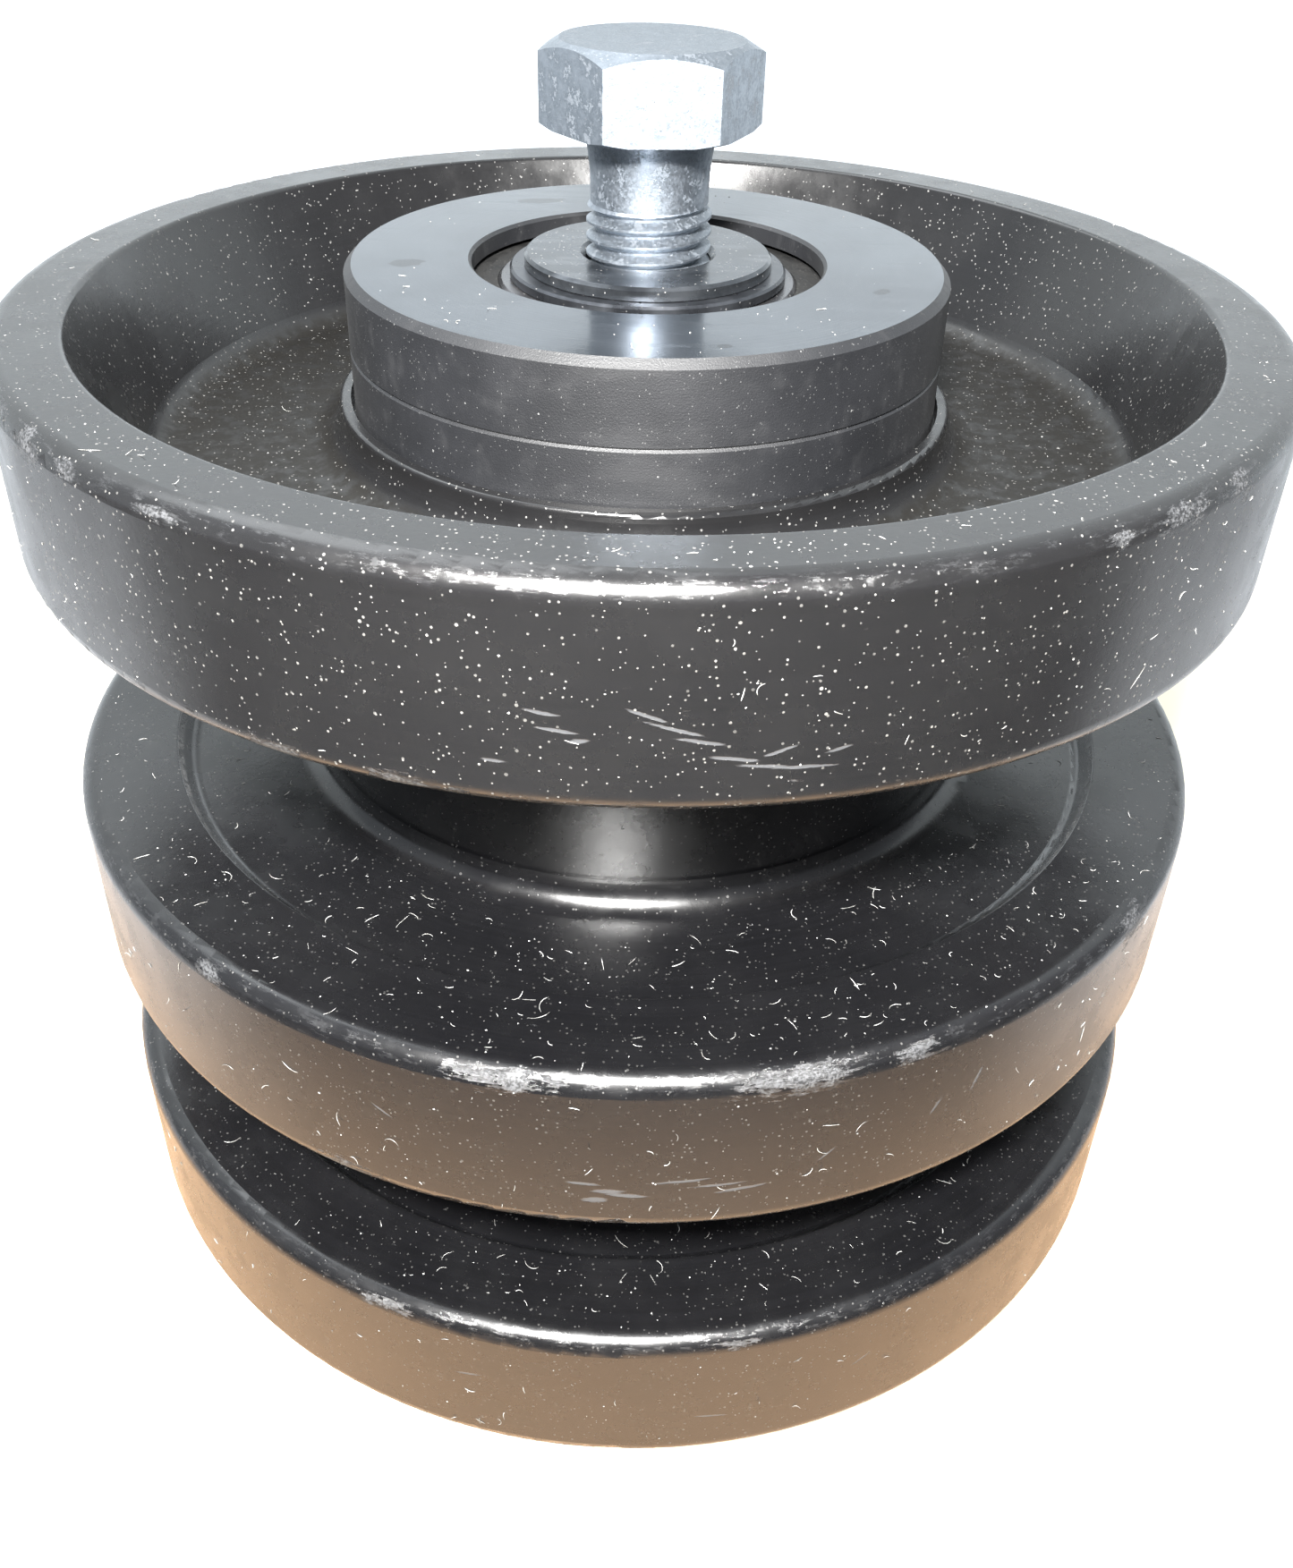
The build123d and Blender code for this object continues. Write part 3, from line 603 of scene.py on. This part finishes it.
def add_crumb(verts, faces, rng, place, normal, along, across, size):
    """A small irregular eight-sided crumb resting on the surface."""
    start = len(verts)
    for direction, reach in (
        (along, 1.0), (across, 1.0), (-along, 1.0), (-across, 1.0), (normal, 0.7), (-normal, 0.1),
    ):
        jitter = 1.0 + rng.uniform(-0.35, 0.35)
        verts.append((place + normal * size * 0.1 + direction * size * reach * jitter) * MM)
    for a, b in ((0, 1), (1, 2), (2, 3), (3, 0)):
        faces.append((start + a, start + b, start + 4))
        faces.append((start + b, start + a, start + 5))


def scatter_lint(name, body, picks, fibres, crumbs, clusters, seed):
    """Scatter fibres and crumbs over weighted regions, about a third of them in `clusters`,
    which are (degrees from the front, spread)."""
    rng = random.Random(seed)
    regions = [pick for pick, weight in picks for _ in range(weight)]
    verts, faces = [], []

    def angle():
        if clusters and rng.random() < 0.35:
            centre, spread = rng.choice(clusters)
            return rng.gauss(centre, spread)
        return rng.uniform(-180, 180)

    for _ in range(fibres):
        place, normal, along, across = rng.choice(regions)(rng, angle())
        length = min(rng.lognormvariate(0.2, 0.5), 3.6)
        heading = rng.uniform(0, 2 * math.pi)
        curl = rng.uniform(-2.4, 2.4)
        radius = rng.uniform(0.026, 0.05)
        lift = rng.choice((0.0, 0.0, rng.uniform(0.1, 0.6)))  # one fibre in three stands off
        steps = 6
        points = []
        spot = place
        for i in range(steps):
            share = i / (steps - 1)
            points.append(spot + normal * (radius * 0.7 + lift * share ** 2))
            turn = heading + curl * share
            spot = spot + (along * math.cos(turn) + across * math.sin(turn)) * (length / steps)
        add_tube(verts, faces, points, radius, normal)
    for _ in range(crumbs):
        place, normal, along, across = rng.choice(regions)(rng, angle())
        add_crumb(verts, faces, rng, place, normal, along, across, rng.uniform(0.05, 0.15))
    mesh = bpy.data.meshes.new(name)
    mesh.from_pydata(verts, [], faces)
    mesh.materials.append(LINT)
    piece = bpy.data.objects.new(name, mesh)
    bpy.context.scene.collection.objects.link(piece)
    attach(piece, body)


# ---------------------------------------------------------------- floor, light and camera


FLOOR_COLOR = (0.9, 0.84, 0.66)
FLOOR_IN_PAINT = (0.41, 0.27, 0.165)  # the floor as glossy paint mirrors it, near the object
ROOM_IN_PAINT = (0.03, 0.031, 0.034)  # and further out, towards the viewer
WALL_IN_PAINT = (0.5, 0.515, 0.54)  # and towards the back
BACKDROP_COLOR = (0.5, 0.53, 0.56)
BACKDROP_GLOW = (0.9, 0.97, 1.0)
GLOW_STRENGTH = 0.9


def make_floor():
    """A wide warm floor that curves up into a white, softly glowing backdrop behind the object."""
    half, front, bend_start, bend, top = 4.0, -3.0, 0.35, 0.6, 4.0
    steps = 32
    profile = [(front, 0.0)] + [(bend_start * i / 8, 0.0) for i in range(9)]
    for i in range(1, steps + 1):
        a = i / steps * math.pi / 2
        profile.append((bend_start + bend * math.sin(a), bend - bend * math.cos(a)))
    profile.append((bend_start + bend, top))
    verts, faces = [], []
    for y, z in profile:
        verts += [(-half, y, z), (half, y, z)]
    for i in range(len(profile) - 1):
        faces.append((2 * i, 2 * i + 1, 2 * i + 3, 2 * i + 2))
    mesh = bpy.data.meshes.new("floor")
    mesh.from_pydata(verts, [], faces)
    for face in mesh.polygons:
        face.use_smooth = True
    floor = bpy.data.objects.new("floor", mesh)
    bpy.context.scene.collection.objects.link(floor)
    s = Shader("floor_pale")
    fine = s.noise(s.mapped(s.mm, scale=(0.3, 1.0, 1.0)), 0.05, detail=5.0)
    far = s.ramp(s.y, 120.0, 420.0)
    pale = s.mix(s.times(fine, 0.15), FLOOR_COLOR, tuple(c * 0.92 for c in FLOOR_COLOR))
    # for glossy rays only: brown near the object, a dim room further out
    away = s.ramp(s.off_axis(), 90.0, 188.0)
    room = s.mix(s.ramp(s.y, -110.0, -10.0), ROOM_IN_PAINT, WALL_IN_PAINT)
    brown = s.mix(away, FLOOR_IN_PAINT, room)
    path = s.node("ShaderNodeLightPath")
    color = s.mix(path.outputs["Is Glossy Ray"], pale, brown)
    color = s.mix(far, color, BACKDROP_COLOR)
    mesh.materials.append(s.finish(color, 0.75, s.bump(fine, 0.1, 0.3), specular=0.2))
    s.bsdf.inputs["Emission Color"].default_value = (*BACKDROP_GLOW, 1.0)
    s.link(s.times(far, GLOW_STRENGTH), s.bsdf.inputs["Emission Strength"])


# (name, place in metres, width and height in metres, watts, colour)
LIGHTS = (
    ("flash", (-0.022, -0.245, 0.3), (0.035, 0.03), 7.0, (1.0, 0.99, 0.97)),
    ("key", (-0.1, -0.6, 0.62), (0.24, 0.18), 7.0, (1.0, 0.985, 0.96)),
    ("top", (-0.35, 0.3, 1.0), (0.7, 0.7), 5.0, (0.93, 0.97, 1.0)),
)
LIGHT_TARGET = (0, 0, 0.1)


def area_light(name, location, size, energy, color):
    data = bpy.data.lights.new(name, "AREA")
    data.shape = "RECTANGLE"
    data.size, data.size_y = size
    data.energy = energy
    data.color = color
    lamp = bpy.data.objects.new(name, data)
    lamp.location = location
    aim = Vector(LIGHT_TARGET) - Vector(location)
    lamp.rotation_euler = aim.to_track_quat("-Z", "Y").to_euler()
    bpy.context.scene.collection.objects.link(lamp)


WORLD_FRONT = (0.22, 0.23, 0.25)
WORLD_BACK = (0.55, 0.6, 0.65)


def make_world():
    """Dim surroundings, brighter and bluer towards the back and the left. The camera sees white."""
    world = bpy.data.worlds.new("studio")
    world.use_nodes = True
    tree = world.node_tree
    background = tree.nodes["Background"]
    coords = tree.nodes.new("ShaderNodeTexCoord")
    split = tree.nodes.new("ShaderNodeSeparateXYZ")
    tree.links.new(coords.outputs["Generated"], split.inputs[0])
    side = tree.nodes.new("ShaderNodeMapRange")
    side.interpolation_type = "SMOOTHSTEP"
    side.inputs["From Min"].default_value = -0.6
    side.inputs["From Max"].default_value = 0.3
    lean = tree.nodes.new("ShaderNodeMath")  # brighter to the back and to the left
    lean.operation = "MULTIPLY_ADD"
    tree.links.new(split.outputs[0], lean.inputs[0])
    lean.inputs[1].default_value = -0.35
    tree.links.new(split.outputs[1], lean.inputs[2])
    tree.links.new(lean.outputs[0], side.inputs["Value"])
    mix = tree.nodes.new("ShaderNodeMix")
    mix.data_type = "RGBA"
    tree.links.new(side.outputs[0], mix.inputs["Factor"])
    mix.inputs[6].default_value = (*WORLD_FRONT, 1.0)
    mix.inputs[7].default_value = (*WORLD_BACK, 1.0)
    seen = tree.nodes.new("ShaderNodeMix")  # the camera itself sees plain white
    seen.data_type = "RGBA"
    path = tree.nodes.new("ShaderNodeLightPath")
    tree.links.new(path.outputs["Is Camera Ray"], seen.inputs["Factor"])
    tree.links.new(mix.outputs[2], seen.inputs[6])
    seen.inputs[7].default_value = (1.0, 1.0, 1.0, 1.0)
    tree.links.new(seen.outputs[2], background.inputs["Color"])
    background.inputs["Strength"].default_value = 1.0
    bpy.context.scene.world = world


CAMERA_PLACE = (0.0214, -2.376, 0.7206)  # from the centre of the upper rim, in wheel radii
CAMERA_PITCH = 35.42  # degrees below level
CAMERA_ROLL = 1.64  # degrees
SENSOR_SIDE = 36.0  # millimetres, along the picture's longer side
LENS_PER_SIDE = 0.943754  # focal length over the longer side


def make_camera():
    """Camera in front of the object and above it, looking down, slightly rolled."""
    place = Vector((0.0, 0.0, RIM_LEVEL * MM)) + Vector(CAMERA_PLACE) * WHEEL_RADIUS * MM
    pitch, roll = math.radians(CAMERA_PITCH), math.radians(CAMERA_ROLL)
    forward = Vector((0, math.cos(pitch), -math.sin(pitch)))
    up = Vector((0, math.sin(pitch), math.cos(pitch)))
    right = Vector((1, 0, 0))
    across = right * math.cos(roll) + up * math.sin(roll)
    upward = up * math.cos(roll) - right * math.sin(roll)
    data = bpy.data.cameras.new("camera")
    data.sensor_width = SENSOR_SIDE
    data.lens = SENSOR_SIDE * LENS_PER_SIDE
    data.clip_start, data.clip_end = 0.01, 50
    camera = bpy.data.objects.new("camera", data)
    turn = Matrix((across, upward, -forward)).transposed()
    camera.matrix_world = Matrix.Translation(place) @ turn.to_4x4()
    bpy.context.scene.collection.objects.link(camera)
    bpy.context.scene.camera = camera


upper_regions = (
    (tread_spot("upper"), 8), (ring_spot("upper", RIM_FACE), 4),
    (ring_spot("upper", WEB), 3), (ring_spot("upper", HOUSING_END), 2),
)
middle_regions = (
    (tread_spot("middle"), 4), (ring_spot("middle", BACK_FACE), 6), (ring_spot("middle", BACK_RECESS), 4),
)
lower_regions = (
    (tread_spot("lower"), 3), (ring_spot("lower", BACK_FACE), 5), (ring_spot("lower", BACK_RECESS), 2),
)
scatter_lint(
    "upper_wheel_lint", "upper_roller", upper_regions,
    fibres=90, crumbs=420, clusters=((-50, 8), (42, 6), (8, 6)), seed=SEED + 31,
)
scatter_lint(
    "middle_wheel_lint", "middle_roller", middle_regions,
    fibres=330, crumbs=420, clusters=((18, 9), (45, 8), (-10, 8), (-35, 10)), seed=SEED + 32,
)
scatter_lint(
    "lower_wheel_lint", "lower_roller", lower_regions,
    fibres=150, crumbs=260, clusters=((0, 20),), seed=SEED + 33,
)

make_floor()
make_world()
for light in LIGHTS:
    area_light(*light)
make_camera()
bpy.context.scene.view_settings.view_transform = "Standard"
